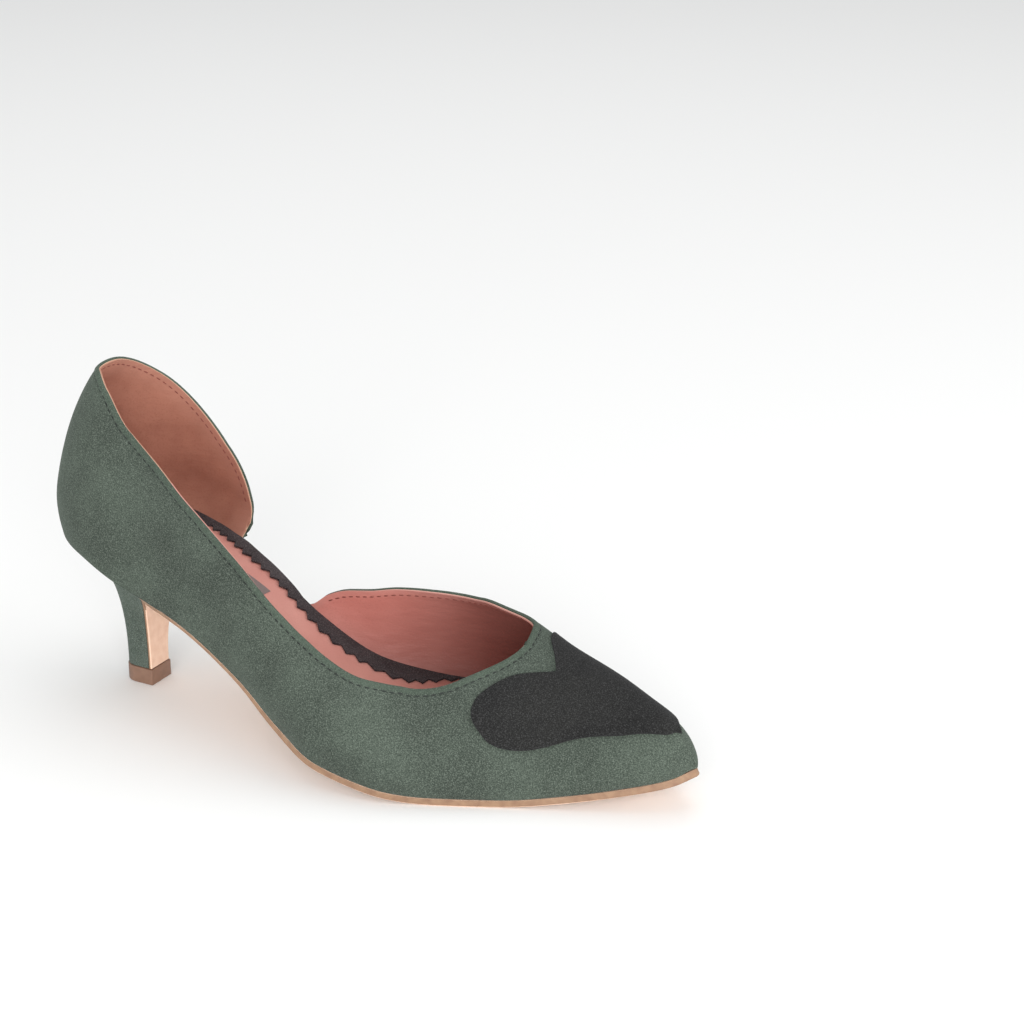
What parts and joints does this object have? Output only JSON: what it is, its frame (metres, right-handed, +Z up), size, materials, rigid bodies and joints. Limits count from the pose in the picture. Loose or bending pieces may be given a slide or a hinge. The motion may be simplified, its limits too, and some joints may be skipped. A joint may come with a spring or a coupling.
{
  "type": "low heel shoe",
  "caption": "Pointed low heeled pump in suede, cut out on the inner side, with a heart overlay on the toe and a slim covered heel.",
  "frame": {"origin": "the middle of the heel tip's floor face, where the heel stands on the floor", "axes": "+X from the heel to the toe along the floor, +Y to the inner side of the foot, +Z up"},
  "size_m": [0.2407, 0.0862, 0.1154],
  "materials": {
    "suede": "green suede, napped",
    "dark_suede": "charcoal suede, napped",
    "sock": "pink lining leather, smooth and matt",
    "counter_lining": "reversed leather in a brownish beige",
    "sole": "tan sole leather, smooth",
    "tip": "tan rubber, satin",
    "thread": "twisted thread"
  },
  "bodies": {
    "root": {"upper": "suede", "heart_overlay": "dark_suede", "insole": "sock", "insole_wrap": "dark_suede", "outsole": "sole", "heel": "suede", "top_piece": "tip"}
  },
  "joints": []
}
